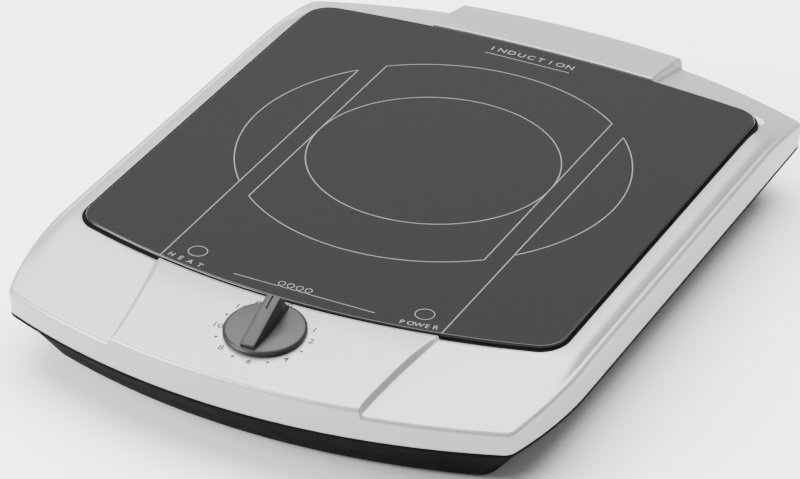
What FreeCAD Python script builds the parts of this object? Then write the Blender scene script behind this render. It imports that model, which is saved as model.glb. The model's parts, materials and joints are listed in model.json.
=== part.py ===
"""Portable electric induction cooktop, one cooking zone, as a FreeCAD document.

Frame: millimetres, X to the right, Y to the back, Z up. The origin is on the surface that the
cooktop stands on, under the middle of its plan box. The knob and its regulator lie on an axis that is
square to the sloped control panel at the front.
"""
import FreeCAD, Part
import math
import os
import re
from FreeCAD import Placement, Rotation, Vector
import Sketcher

os.makedirs("parts", exist_ok=True)
doc = FreeCAD.newDocument("induction_cooktop")
sheet = doc.addObject("Spreadsheet::Sheet", "Dims")

DIMENSIONS = {
    # plan: drawn round the middle of the glass, then moved so that the plan box is centred
    "middle_y": 6.75,
    # top cover
    "half_width": 156, "front_edge": -209, "back_edge": 222.5, "end_radius": 372,
    "taper_start": -109.5, "taper_radius": 243.4, "front_corner_half": 145.2,
    "corner_front": 9, "corner_back": 8, "cover_wall": 2.2, "cover_bottom": 31,
    "edge_round": 2.4, "step_round": 1, "panel_block_low": 36,
    "frame_drop": 1.6, "roll_width": 14, "rim_height": 47.4, "back_drop": 12, "back_drop_start": 171,
    "front_slope": 0.1397, "front_twist": 0.0000013,
    "tongue_back_half": 81.9, "tongue_mid_half": 74.6, "tongue_front_half": 70.7,
    "panel_slope": 0.127, "panel_lead": 10, "panel_crown": 0.0000033,
    "hump_half": 69.3, "hump_drop": 7.9, "hump_crown": 0.00012,
    # glass plate and its seal
    "glass_top": 57.4, "glass_thickness": 4, "glass_half": 140, "glass_corner": 16,
    "glass_front": -137.5, "glass_front_radius": 420, "glass_back": 173.6, "glass_back_radius": 907,
    "glass_bevel_size": 0.6, "seal_width": 2, "seal_bed": 0.6, "seal_lip_drop": 0.5,
    "ledge_width": 6, "ledge_reach": 4.2, "ledge_height": 2.4,
    # base tray
    "tray_bottom": 4.2, "tray_rim_bottom": 29.6, "rim_inset": 0.8, "tray_floor": 2.2, "tray_wall": 3,
    "tray_top_half": 152.6, "tray_top_front": -205.6, "tray_top_back": 219,
    "tray_top_corner_half": 141.8, "tray_top_taper": -108,
    "tray_low_half": 131, "tray_low_front": -185.3, "tray_low_back": 208,
    "tray_low_corner_half": 126, "tray_low_taper": -98, "tray_corner": 12,
    # screws of the housing
    "post_radius": 4.5, "screw_radius": 1.8, "screw_head_radius": 3.6,
    "screw_head_height": 2.6, "screw_seat": 14, "screw_length": 26,
    "screw_front_x": 100, "screw_front_y": -150, "screw_rear_x": 70, "screw_rear_y": 186,
    # cord gland, in a boss of the rear wall
    "gland_x": 100, "gland_z": 20, "gland_radius": 6.6, "flange_radius": 8.6, "flange_thickness": 2.2,
    "boss_front": 190, "boss_back": 206.5, "gland_length": 21.5,
    # feet
    "foot_radius": 12.5, "foot_front_x": 117.6, "foot_front_y": -104.6, "foot_rear_x": 113,
    "foot_rear_y": 150, "foot_recess": 2.4, "foot_boss_height": 6,
    # knob, on the control panel's own axis
    "knob_y": -166.5, "panel_tilt": 6.7, "panel_height": 54.75, "knob_radius": 21.9, "knob_gap": 0.5,
    "knob_disc": 3, "knob_edge": 0.9, "grip_half": 3.85, "grip_front": 19.6, "grip_back": 19.3,
    "grip_top_back": 10.9, "grip_low": 2.5, "grip_high": 12.6, "shaft_radius": 3, "shaft_hole": 3.6,
    "board_depth": 19, "board_thickness": 1.6, "lamp_x": 66.3, "lamp_y": -116.5, "lamp_up_panel": 48.3,
    # coil
    "zone_y": 30.5, "winding_inner": 22, "winding_outer": 88, "winding_low": 46.8, "winding_high": 52.6,
    "winding_turns": 20, "mica_radius": 91, "mica_top": 53.2, "carrier_low": 42.8, "carrier_radius": 92,
    "carrier_hub": 26, "bracket_low": 30, "bracket_thickness": 1.2, "bracket_half": 102,
    "bracket_front": -50, "bracket_back": 108, "bracket_post_x": 94, "bracket_post_front": -42,
    "bracket_post_back": 38, "ferrite_length": 52, "ferrite_width": 11,
    # fan
    "fan_x": -72, "fan_y": 100, "fan_half": 43, "fan_low": 7.4, "fan_height": 20, "fan_bore": 40.5,
    "fan_hub": 15, "fan_tip": 38.6, "fan_pin": 1.5, "stator_radius": 11.8, "fan_hole_half": 37,
    # power board
    "board_left": -22, "board_right": 112, "board_front": 48, "board_back": 160, "board_low": 12,
    "board_plate": 1.6, "board_inset": 6,
}


def fill_sheet():
    """Write every driving dimension to the sheet, one aliased cell each."""
    for row, (alias, number) in enumerate(DIMENSIONS.items(), start=1):
        cell = "B%d" % row
        sheet.set("A%d" % row, alias)
        sheet.set(cell, repr(number))
        sheet.setAlias(cell, alias)
    doc.recompute()


def cells(expression):
    """Point the plain names in an expression at the sheet's cells."""
    return re.sub(r"[a-z][a-z_]*", lambda word: "Dims." + word.group(0) if word.group(0) in DIMENSIONS
                  else word.group(0), str(expression))


def value(expression):
    """What an expression in the sheet's names comes to now."""
    return float(sheet.evalExpression(cells(expression)))


def bind(thing, **properties):
    """Tie properties of a document object to expressions in the sheet's names."""
    for name, expression in properties.items():
        thing.setExpression(name, cells(expression))


def place(thing, at, turn=None):
    """Put an object at a point whose coordinates are expressions, turned if asked."""
    thing.Placement = Placement(Vector(0, 0, 0), turn or Rotation())
    for axis, expression in zip("xyz", at):
        thing.setExpression("Placement.Base." + axis, cells(expression))
    return thing


def box(name, size, at, turn=None):
    """A box with its lowest corner at a point."""
    thing = doc.addObject("Part::Box", name)
    bind(thing, Length=size[0], Width=size[1], Height=size[2])
    return place(thing, at, turn)


def centred_box(name, size, at):
    """A box whose plan is centred over a point, standing on that point's height."""
    corner = ("(%s) - (%s) / 2" % (at[0], size[0]), "(%s) - (%s) / 2" % (at[1], size[1]), at[2])
    return box(name, size, corner)


def rod(name, radius, height, at, turn=None):
    """A cylinder that stands on a point."""
    thing = doc.addObject("Part::Cylinder", name)
    bind(thing, Radius=radius, Height=height)
    return place(thing, at, turn)


def cone(name, low_radius, high_radius, height, at, turn=None):
    """A cone that stands on a point."""
    thing = doc.addObject("Part::Cone", name)
    bind(thing, Radius1=low_radius, Radius2=high_radius, Height=height)
    return place(thing, at, turn)


def fuse(name, pieces):
    """Join overlapping pieces into one solid."""
    thing = doc.addObject("Part::MultiFuse", name)
    thing.Shapes = pieces
    thing.Refine = True
    return thing


def cut(name, base, tool):
    """Take a tool away from a base."""
    thing = doc.addObject("Part::Cut", name)
    thing.Base = base
    thing.Tool = tool
    return thing


def overlap(name, pieces):
    """Keep only what all the pieces share."""
    thing = doc.addObject("Part::MultiCommon", name)
    thing.Shapes = pieces
    return thing


def group(name, pieces):
    """Several separate solids as one object."""
    thing = doc.addObject("Part::Compound", name)
    thing.Links = pieces
    return thing


NODES = []


def publish(node, thing):
    """Name a finished sub-part and put it on the list of files to write."""
    thing.Label = node
    NODES.append(thing)
    return thing


# ---- outlines -------------------------------------------------------------------------------------

def arc_between(start, end, radius):
    """The anticlockwise arc from start to end, its centre on the left of the way."""
    chord = end - start
    left = Vector(-chord.y, chord.x, 0).normalize()
    reach = math.sqrt(radius ** 2 - (chord.Length / 2) ** 2)
    centre = (start + end) * 0.5 + left * reach
    angles = [math.atan2(point.y - centre.y, point.x - centre.x) for point in (start, end)]
    if angles[1] < angles[0]:
        angles[1] += 2 * math.pi
    return Part.ArcOfCircle(Part.Circle(centre, Vector(0, 0, 1), radius), angles[0], angles[1])


def outline(body, name, vertices, height="0"):
    """A closed, fully constrained sketch at a height, anticlockwise.

    Each vertex is (x, y, radius): expressions for its place, and for the radius of the arc that runs
    on to the next vertex, or None where a straight side does.
    """
    sketch = body.newObject("Sketcher::SketchObject", name)
    plane = [feature for feature in body.Origin.OriginFeatures if feature.Role == "XY_Plane"][0]
    sketch.AttachmentSupport = (plane, [""])
    sketch.MapMode = "FlatFace"
    sketch.setExpression("AttachmentOffset.Base.z", cells(height))
    points = [Vector(value(x), value(y), 0) for x, y, radius in vertices]
    count = len(vertices)
    for index, (x, y, radius) in enumerate(vertices):
        start, end = points[index], points[(index + 1) % count]
        if radius is None:
            sketch.addGeometry(Part.LineSegment(start, end))
        else:
            sketch.addGeometry(arc_between(start, end, value(radius)))
    for index in range(count):
        sketch.addConstraint(Sketcher.Constraint("Coincident", index, 2, (index + 1) % count, 1))
    for index, (x, y, radius) in enumerate(vertices):
        rules = [("DistanceX", (-1, 1, index, 1), x), ("DistanceY", (-1, 1, index, 1), y)]
        if radius is not None:
            rules.append(("Radius", (index,), radius))
        for kind, where, expression in rules:
            label = "%s_%d" % (kind, index)
            number = sketch.addConstraint(Sketcher.Constraint(kind, *where, value(expression)))
            sketch.renameConstraint(number, label)
            sketch.setExpression("Constraints." + label, cells(expression))
    return sketch


def edges_along_z(shape, test):
    """Names of the edges that climb, at points that pass the test."""
    names = []
    for index, edge in enumerate(shape.Edges, start=1):
        ends = [vertex.Point for vertex in edge.Vertexes]
        if len(ends) == 2 and abs(ends[0].z - ends[1].z) > 1 and test(ends[0]):
            names.append("Edge%d" % index)
    return names


def round_corners(body, base, radius, test):
    """Round the upright edges that pass the test."""
    doc.recompute()
    rounded = body.newObject("PartDesign::Fillet", base.Name + "_rounded")
    rounded.Base = (base, edges_along_z(base.Shape, test))
    bind(rounded, Radius=radius)
    body.Tip = rounded
    return rounded


def block(name, vertices, low, high, corners=()):
    """A body with this outline from one height to another, its upright corners rounded."""
    body = doc.addObject("PartDesign::Body", name)
    pad = body.newObject("PartDesign::Pad", name + "_pad")
    pad.Profile = outline(body, name + "_outline", vertices, low)
    bind(pad, Length="(%s) - (%s)" % (high, low))
    feature = pad
    for radius, test in corners:
        feature = round_corners(body, feature, radius, test)
    return body


def is_front(point):
    """Whether a point is in the front half."""
    return point.y < 0


def is_back(point):
    """Whether a point is in the back half."""
    return point.y > 0


def bowed_outline(half, corner_half, taper_start, front, back, side_radius):
    """The cooktop's plan: bowed front and back, straight sides that draw in towards the front."""
    radius = "end_radius"
    back_y = "(%s) - %s + sqrt(%s^2 - (%s)^2)" % (back, radius, radius, half)
    front_y = "(%s) + %s - sqrt(%s^2 - (%s)^2)" % (front, radius, radius, corner_half)
    return [("-(%s)" % corner_half, front_y, radius),
            (corner_half, front_y, side_radius),
            (half, taper_start, None),
            (half, back_y, radius),
            ("-(%s)" % half, back_y, None),
            ("-(%s)" % half, taper_start, side_radius)]


def cover_block(name, inset, low, high):
    """The top cover's plan, drawn in by an inset, between two heights."""
    vertices = bowed_outline("half_width - %s" % inset, "front_corner_half - %s" % inset, "taper_start",
                             "front_edge + %s" % inset, "back_edge - %s" % inset,
                             "taper_radius - %s" % inset)
    corners = [("corner_front - %s" % inset, is_front), ("corner_back - %s" % inset, is_back)]
    return block(name, vertices, low, high, corners)


def glass_block(name, growth, low, high):
    """The glass plate's plan, grown by an amount, between two heights."""
    half = "glass_half + (%s)" % growth
    front = "(glass_front_radius + (%s))" % growth
    back = "(glass_back_radius + (%s))" % growth
    front_y = "glass_front + glass_front_radius - sqrt(%s^2 - (%s)^2)" % (front, half)
    back_y = "glass_back - glass_back_radius + sqrt(%s^2 - (%s)^2)" % (back, half)
    vertices = [("-(%s)" % half, front_y, front), (half, front_y, None),
                (half, back_y, back), ("-(%s)" % half, back_y, None)]
    corners = [("glass_corner + (%s)" % growth, lambda point: True)]
    return block(name, vertices, low, high, corners)


# ---- crowned surfaces of the top cover --------------------------------------------------------------

def soft_ramp(distance, softness):
    """Zero behind, the distance ahead, and a smooth bend between."""
    return (distance + math.sqrt(distance ** 2 + softness ** 2)) / 2


def frame_height(x, y, d):
    """Height of the frame beside the glass: it rolls down to a level rim and falls to the front and back.

    d holds the sheet's numbers, as it does for the other two surfaces.
    """
    outer = d["half_width"]
    if y < d["taper_start"]:
        outer -= d["taper_radius"] - math.sqrt(d["taper_radius"] ** 2 - (y - d["taper_start"]) ** 2)
    roll = max(0, abs(x) - outer + d["roll_width"]) / d["roll_width"]
    front = soft_ramp(d["glass_front"] + x ** 2 / (2 * d["glass_front_radius"]) - y, 8)
    back = soft_ramp(y - d["back_drop_start"] + x ** 2 / (2 * d["end_radius"]), 8)
    back_length = d["back_edge"] - d["back_drop_start"]
    sloped = (d["glass_top"] - d["frame_drop"] - (d["front_slope"] + d["front_twist"] * x ** 2) * front
              - d["back_drop"] * back / back_length)
    return sloped - soft_ramp(sloped - d["rim_height"], 1) * min(roll, 1.5) ** 3


def panel_surface_height(x, y, d):
    """Height of the control panel: level with the glass, then falling to the front."""
    fall = soft_ramp(d["glass_front"] - d["panel_lead"] - y, 12)
    return d["glass_top"] - fall * (d["panel_slope"] + d["panel_crown"] * x ** 2)


def hump_height(x, y, d):
    """Height of the raised middle behind the glass."""
    run = max(0, y - d["glass_back"]) / (d["back_edge"] - d["glass_back"])
    return d["glass_top"] - 0.2 - d["hump_drop"] * run ** 1.5 - d["hump_crown"] * x ** 2 * run


CROSS_STEPS = (0, 30, 60, 85, 105, 120, 130, 137, 142, 146, 150, 153, 156, 159, 162)


def crown(name, height_at, lowered="0"):
    """Everything below one crowned surface, as a solid."""
    numbers = {alias: value(alias) for alias in DIMENSIONS}
    sides = [-x for x in reversed(CROSS_STEPS[1:])] + list(CROSS_STEPS)
    lengths = [-216 + 12 * step for step in range(38)]
    fall = value(lowered)
    grid = [[Vector(x, y, height_at(x, y, numbers) - fall) for y in lengths] for x in sides]
    surface = Part.BSplineSurface()
    surface.interpolate(grid)
    thing = doc.addObject("Part::Feature", name)
    thing.Shape = surface.toShape().extrude(Vector(0, 0, -60))
    return thing


def panel_outline(inset):
    """Plan of the control panel between the two front wings, drawn in by an inset."""
    front = "front_edge - 5"
    ends = [("tongue_front_half - %s" % inset, front), ("tongue_mid_half - %s" % inset, "knob_y"),
            ("tongue_back_half - %s" % inset, "glass_front + 8"),
            ("tongue_back_half - %s" % inset, "glass_front + 40")]
    right = [(x, y, None) for x, y in ends]
    left = [("-(%s)" % x, y, None) for x, y in reversed(ends)]
    return right + left


def hump_outline(inset):
    """Plan of the raised middle at the back."""
    half = "hump_half - %s" % inset
    return [("-(%s)" % half, "glass_back - 40", None), (half, "glass_back - 40", None),
            (half, "back_edge + 5", None), ("-(%s)" % half, "back_edge + 5", None)]


# ---- housing ----------------------------------------------------------------------------------------

SCREW_SPOTS = [("%sscrew_%s_x" % (sign, row), "screw_%s_y" % row)
               for row in ("front", "rear") for sign in ("", "-")]
FOOT_SPOTS = {"front_left": ("-foot_front_x", "foot_front_y"), "front_right": ("foot_front_x", "foot_front_y"),
              "rear_left": ("-foot_rear_x", "foot_rear_y"), "rear_right": ("foot_rear_x", "foot_rear_y")}
BRACKET_SPOTS = [("%sbracket_post_x" % sign, "bracket_post_%s" % row)
                 for row in ("front", "back") for sign in ("", "-")]
PANEL_POSTS = [(x, y) for x in (-70, 70) for y in (-19, 30)]
BOARD_SPOTS = [(x, y) for x in ("board_left + board_inset", "board_right - board_inset")
               for y in ("board_front + board_inset", "board_back - board_inset")]
PANEL_TURN = Rotation(Vector(1, 0, 0), DIMENSIONS["panel_tilt"])
BACKWARD = Rotation(Vector(1, 0, 0), -90)
HEAD_UP = Rotation(Vector(1, 0, 0), 180)


def panel_point(x, y, height):
    """A point given on the control panel: across, up the slope and out of it, from the knob's axis."""
    point = PANEL_TURN.multVec(Vector(x, y, height))
    return (point.x, "knob_y + (%r)" % point.y, "panel_height + (%r)" % point.z)


def softened(name, crowned, front_radius, other_radius):
    """Round the top edges of a crowned block: one radius along its front, another elsewhere."""
    doc.recompute()
    rounded = doc.addObject("Part::Fillet", name)
    rounded.Base = crowned
    edges = []
    for index, edge in enumerate(crowned.Shape.Edges, start=1):
        room = edge.BoundBox
        is_top = room.ZMin > value("cover_bottom + 2") and room.ZMin != value("panel_block_low")
        is_rim = room.YMin < value("glass_front") or room.YMax > value("glass_back")
        is_level = room.ZLength < 12.5 and max(room.XLength, room.YLength) > 4
        if is_top and is_rim and is_level:
            radius = value(front_radius if room.YMax < value("glass_front - 40") and room.XLength > 100
                           else other_radius)
            edges.append((index, radius, radius))
    rounded.Edges = edges
    return rounded


def crowned_blocks(label, inset, lowered):
    """The frame, panel and hump as solid blocks, drawn in and lowered by the same wall."""
    low, high = "cover_bottom - 1", "glass_top + 4"
    plan = cover_block(label + "_plan", inset, low if value(lowered) else "cover_bottom", high)
    frame = overlap(label + "_frame", [plan, crown(label + "_frame_crown", frame_height, lowered)])
    panel = overlap(label + "_panel", [cover_block(label + "_panel_plan", inset, "panel_block_low", high),
                                       block(label + "_panel_area", panel_outline(inset), "panel_block_low", high),
                                       crown(label + "_panel_crown", panel_surface_height, lowered)])
    hump = overlap(label + "_hump", [cover_block(label + "_hump_plan", inset, "panel_block_low", high),
                                     block(label + "_hump_area", hump_outline(inset), "panel_block_low", high),
                                     crown(label + "_hump_crown", hump_height, lowered)])
    return [frame, panel, hump]


def cover_posts():
    """Screw posts under the cover, and the four that carry the control board."""
    posts = [rod("cover_post", "post_radius - 0.5", "glass_top - cover_bottom - 4.6", (x, y, "cover_bottom"))
             for x, y in SCREW_SPOTS]
    reach = "board_depth - board_thickness - 1.6"
    for x, y in PANEL_POSTS:
        spot = panel_point(x, y, DIMENSIONS["board_thickness"] - DIMENSIONS["board_depth"])
        posts.append(rod("panel_post", 3.2, reach, spot, PANEL_TURN))
    return posts


def cover_holes():
    """Screw holes in the posts, the shaft's hole in the panel, and the glass plate's seat."""
    holes = [rod("cover_screw_hole", "screw_radius", 14, (x, y, "cover_bottom - 1")) for x, y in SCREW_SPOTS]
    depth = DIMENSIONS["board_thickness"] - DIMENSIONS["board_depth"] - 1
    for x, y in PANEL_POSTS:
        holes.append(rod("panel_screw_hole", 1.2, 9, panel_point(x, y, depth), PANEL_TURN))
    holes.append(rod("shaft_opening", "shaft_radius + 1.2", 16, panel_point(0, 0, -10), PANEL_TURN))
    seat = "glass_top - glass_thickness - seal_bed"
    holes.append(glass_block("glass_seat", "seal_width", seat, "glass_top + 6"))
    holes.append(glass_block("glass_opening", "-ledge_width", "cover_bottom", "glass_top"))
    return holes


def top_cover():
    """Moulded top: frame, sloped control panel and rear hump in one shell with a seat for the glass."""
    frame, panel, hump = crowned_blocks("cover", "0", "0")
    skin = [softened("frame_softened", frame, "edge_round", "edge_round"),
            softened("panel_softened", panel, "edge_round - 0.6", "step_round"),
            softened("hump_softened", hump, "step_round", "step_round")]
    outside = fuse("cover_outside", skin)
    hollow = fuse("cover_hollow", crowned_blocks("hollow", "cover_wall", "cover_wall"))
    shell = cut("cover_shell", outside, hollow)
    seat = "glass_top - glass_thickness - seal_bed"
    ledge = glass_block("cover_ledge", "ledge_reach", "%s - ledge_height" % seat, "%s + 1.5" % seat)
    posts = overlap("cover_posts", [fuse("cover_post_set", cover_posts()), outside])
    solid = fuse("cover_solid", [shell, ledge, posts])
    publish("top_cover", cut("cover", solid, fuse("cover_cuts", cover_holes())))


def glass_and_seal():
    """Glass-ceramic plate, and the black seal that it is bedded in."""
    low = "glass_top - glass_thickness"
    plate = glass_block("glass", "0", low, "glass_top")
    doc.recompute()
    sharp = plate.Tip
    rims = ["Edge%d" % index for index in edge_numbers_on_top(sharp)]
    bevel = plate.newObject("PartDesign::Chamfer", "glass_bevel")
    bevel.Base = (sharp, rims)
    bind(bevel, Size="glass_bevel_size")
    plate.Tip = bevel
    publish("glass_plate", plate)
    bed = glass_block("seal_outer", "seal_width", "%s - seal_bed" % low, "glass_top - seal_lip_drop - 1.6")
    room = fuse("seal_room", [glass_block("seal_glass_room", "0", low, "glass_top + 1"),
                              glass_block("seal_window", "-ledge_width", "cover_bottom", "glass_top")])
    publish("glass_seal", cut("seal", bed, room))


def bottom_wire(thing):
    """The outline of a block's underside."""
    low = thing.Shape.BoundBox.ZMin
    face = min(thing.Shape.Faces, key=lambda side: side.CenterOfMass.z + side.BoundBox.ZLength - low)
    return face.OuterWire


def tray_loft(name, inset, low, high):
    """The tray's sloped body between two heights, drawn in by an inset; its corners open upwards."""
    wires = []
    for level, height, side_radius, corner in (("low", low, "220", "tray_corner"),
                                               ("top", high, "243", "corner_back")):
        vertices = bowed_outline("tray_%s_half - %s" % (level, inset),
                                 "tray_%s_corner_half - %s" % (level, inset), "tray_%s_taper" % level,
                                 "tray_%s_front + %s" % (level, inset), "tray_%s_back - %s" % (level, inset),
                                 side_radius)
        slab = block("%s_%s" % (name, level), vertices, height, "(%s) + 2" % height,
                     [("%s - %s / 2" % (corner, inset), is_corner)])
        doc.recompute()
        wires.append(bottom_wire(slab))
    thing = doc.addObject("Part::Feature", name)
    thing.Shape = Part.makeLoft(wires, True, True)
    return thing


def is_corner(point):
    """Whether a point is at one of the four corners, away from where a side starts to draw in."""
    return point.y < -125 or point.y > 125


def tray_posts():
    """Posts and bosses that stand in the tray."""
    low = "tray_bottom + 0.5"
    posts = [rod("tray_post", "post_radius", "cover_bottom - (%s)" % low, (x, y, low)) for x, y in SCREW_SPOTS]
    posts += [rod("bracket_post", 4, "bracket_low - (%s)" % low, (x, y, low)) for x, y in BRACKET_SPOTS]
    posts += [rod("foot_boss", 5, "foot_boss_height", (x, y, low)) for x, y in FOOT_SPOTS.values()]
    posts += [rod("board_boss", 3.5, "board_low - (%s)" % low, (x, y, low)) for x, y in BOARD_SPOTS]
    return posts


def tray_holes():
    """Screw holes, the fan's intake slots, the exhaust slots and the opening for the cord gland."""
    holes = []
    for x, y in SCREW_SPOTS:
        holes.append(rod("tray_screw_hole", "screw_radius", 40, (x, y, 0)))
        holes.append(rod("tray_screw_well", "screw_head_radius + 0.4", "screw_seat + 5", (x, y, -5)))
    for x, y in BRACKET_SPOTS:
        holes.append(rod("bracket_screw_hole", 1.5, 12, (x, y, "bracket_low - 9")))
    for x, y in FOOT_SPOTS.values():
        holes.append(rod("foot_screw_hole", 1.5, 12, (x, y, 0)))
    for x, y in BOARD_SPOTS:
        holes.append(rod("board_screw_hole", 1.25, 12, (x, y, "board_low - 6")))
    slots = [centred_box("intake_slot", ("2 * fan_bore", 4.2, 9), ("fan_x", "fan_y + (%d)" % y, 0))
             for y in range(-32, 33, 8)]
    ring = rod("intake_ring", "fan_bore - 3", 12, ("fan_x", "fan_y", 0))
    holes.append(overlap("intake", [fuse("intake_slots", slots), ring]))
    for step in range(12):
        holes.append(centred_box("exhaust_slot", (3.4, 50, 15), (-57 + 9 * step, 210, 12)))
    holes.append(rod("gland_opening", "gland_radius", 60, ("gland_x", 165, "gland_z"), BACKWARD))
    return holes


def base_tray():
    """Black moulded tray with sloped walls, a thin rim under the cover, vents and screw posts."""
    outside = tray_loft("tray_outside", "0", "tray_bottom", "tray_rim_bottom + 0.5")
    inside = tray_loft("tray_inside", "tray_wall", "tray_bottom + tray_floor", "cover_bottom + 1")
    rim = cover_block("tray_rim", "rim_inset", "tray_rim_bottom", "cover_bottom")
    shell = cut("tray_shell", fuse("tray_mass", [outside, rim]), inside)
    posts = overlap("tray_post_set", [fuse("tray_posts", tray_posts()),
                                      fuse("tray_envelope", [outside, rim])])
    boss = box("gland_boss", (24, "boss_back - boss_front", 22), ("gland_x - 12", "boss_front", 8.8))
    solid = fuse("tray_solid", [shell, posts, boss])
    publish("base_tray", cut("tray", solid, fuse("tray_cuts", tray_holes())))


def screw(name, head_radius, head_height, shank_radius, length, at, turn=None, upward=True):
    """A screw with its head at a point: its shank runs on from the head."""
    head = rod(name + "_head", head_radius, head_height, at, turn)
    shank = rod(name + "_shank", shank_radius, "%s + (%s)" % (head_height, length), at, turn)
    return cut(name, fuse(name + "_blank", [head, shank]), rod(name + "_drive", 1, 1, at, turn))


def housing_screws():
    """Four screws that hold the tray to the cover, let into wells in the tray's underside."""
    low = "screw_seat - screw_head_height"
    screws = [screw("housing_screw", "screw_head_radius", "screw_head_height", "screw_radius",
                    "screw_length", (x, y, low)) for x, y in SCREW_SPOTS]
    publish("housing_screws", group("housing_screw_set", screws))


def feet():
    """Four round rubber feet, each held by a screw in its recess."""
    for corner, (x, y) in FOOT_SPOTS.items():
        pad = cone("foot_pad", "foot_radius - 1", "foot_radius", "tray_bottom", (x, y, 0))
        recess = rod("foot_recess", 4.2, "foot_recess", (x, y, 0))
        hole = rod("foot_hole", 1.5, "tray_bottom", (x, y, 0))
        publish("rubber_foot_" + corner, cut("foot", pad, fuse("foot_cuts", [recess, hole])))
    screws = [screw("foot_screw", 3.4, 1.4, 1.5, 7.5, (x, y, "foot_recess - 1.4"))
              for x, y in FOOT_SPOTS.values()]
    publish("foot_screws", group("foot_screw_set", screws))


# ---- control -----------------------------------------------------------------------------------------

def knob_grip():
    """The wedge across the knob: low at the front, high at the back, with a groove for a pointer."""
    body = doc.addObject("PartDesign::Body", "grip")
    sketch = body.newObject("Sketcher::SketchObject", "grip_side")
    plane = [feature for feature in body.Origin.OriginFeatures if feature.Role == "YZ_Plane"][0]
    sketch.AttachmentSupport = (plane, [""])
    sketch.MapMode = "FlatFace"
    corners = [("-grip_front", "0.5"), ("grip_back", "0.5"), ("grip_top_back", "grip_high"),
               ("-grip_front", "grip_low")]
    points = [Vector(value(y), value(z), 0) for y, z in corners]
    for index in range(4):
        sketch.addGeometry(Part.LineSegment(points[index], points[(index + 1) % 4]))
    for index in range(4):
        sketch.addConstraint(Sketcher.Constraint("Coincident", index, 2, (index + 1) % 4, 1))
    for index, (y, z) in enumerate(corners):
        for kind, expression in (("DistanceX", y), ("DistanceY", z)):
            label = "%s_%d" % (kind, index)
            number = sketch.addConstraint(Sketcher.Constraint(kind, -1, 1, index, 1, value(expression)))
            sketch.renameConstraint(number, label)
            sketch.setExpression("Constraints." + label, cells(expression))
    pad = body.newObject("PartDesign::Pad", "grip_pad")
    pad.Profile = sketch
    pad.Midplane = True
    bind(pad, Length="2 * grip_half")
    return body


def control_knob():
    """Round knob with a wedge grip; it turns on the panel's axis and carries the shaft."""
    low = cone("knob_skirt", "knob_radius", "knob_radius", "knob_disc - knob_edge", (0, 0, 0))
    top = cone("knob_crown", "knob_radius", "knob_radius - knob_edge", "knob_edge",
               (0, 0, "knob_disc - knob_edge"))
    grip = knob_grip()
    grip.setExpression("Placement.Base.z", cells("knob_disc - 0.5"))
    groove = centred_box("pointer_groove", (1.4, 11, 2), (0, "grip_top_back - 5", "knob_disc + grip_high - 2.6"))
    socket = rod("knob_socket", "shaft_hole + 1.4", "knob_disc + 4", (0, 0, 0))
    shaft_room = rod("shaft_room", "shaft_hole", "knob_disc + 2.5", (0, 0, -1))
    solid = fuse("knob_solid", [low, top, grip, socket])
    knob = cut("knob", solid, fuse("knob_cuts", [groove, shaft_room]))
    tilt_to_panel(publish("control_knob", knob), "knob_gap")
    outer = rod("clip_outer", "shaft_hole", 4, (0, 0, 0))
    slot = centred_box("clip_slot", (1.6, 10, 4), (0, 5, 0))
    clip = cut("clip", outer, fuse("clip_cuts", [rod("clip_inner", "shaft_radius", 4, (0, 0, 0)), slot]))
    tilt_to_panel(publish("knob_spring_clip", clip), "knob_gap")
    tilt_to_panel(publish("regulator_shaft", rod("shaft", "shaft_radius", 17, (0, 0, 0))), "-12.6")


def tilt_to_panel(thing, height):
    """Stand an object that was drawn upright at the origin on the panel's axis, at a height along it."""
    point = PANEL_TURN.multVec(Vector(0, 0, value(height)))
    thing.Placement = Placement(Vector(0, 0, 0), PANEL_TURN)
    place(thing, (point.x, "knob_y + (%r)" % point.y, "panel_height + (%r)" % point.z), PANEL_TURN)
    return thing


def control_board():
    """Board under the panel: regulator, indicator lamps and their light guides."""
    board_top = DIMENSIONS["board_thickness"] - DIMENSIONS["board_depth"]
    board_low = -DIMENSIONS["board_depth"]
    plate = box("control_plate", (154, 88, "board_thickness"), panel_point(-77, -25, board_low), PANEL_TURN)
    holes = [rod("control_hole", 1.2, 4, panel_point(x, y, board_low - 1), PANEL_TURN) for x, y in PANEL_POSTS]
    publish("control_board", cut("control", plate, fuse("control_holes", holes)))
    screws = [screw("control_screw", 2.4, 1.6, 1.2, 8, panel_point(x, y, board_low - 1.6), PANEL_TURN)
              for x, y in PANEL_POSTS]
    publish("control_board_screws", group("control_screw_set", screws))
    case = rod("regulator_case", 9, 6.4, panel_point(0, 0, board_top), PANEL_TURN)
    bush = rod("regulator_bush", 4.6, 4, panel_point(0, 0, board_top + 6), PANEL_TURN)
    bore = rod("regulator_bore", "shaft_radius + 0.05", 8, panel_point(0, 0, board_top + 4.4), PANEL_TURN)
    publish("regulator", cut("regulator_part", fuse("regulator_blank", [case, bush]), bore))
    for name, x in (("heat", -DIMENSIONS["lamp_x"]), ("power", DIMENSIONS["lamp_x"])):
        spot = panel_point(x, DIMENSIONS["lamp_up_panel"], board_top)
        lamp = rod(name + "_lamp", 2.5, 4.6, spot, PANEL_TURN)
        flange = rod(name + "_lamp_flange", 2.9, 1, spot, PANEL_TURN)
        publish(name + "_indicator_lamp", fuse(name + "_indicator", [lamp, flange]))
        publish(name + "_light_guide", rod(name + "_guide", 3.4, 4.4, (x, "lamp_y", 48.8)))


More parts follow.
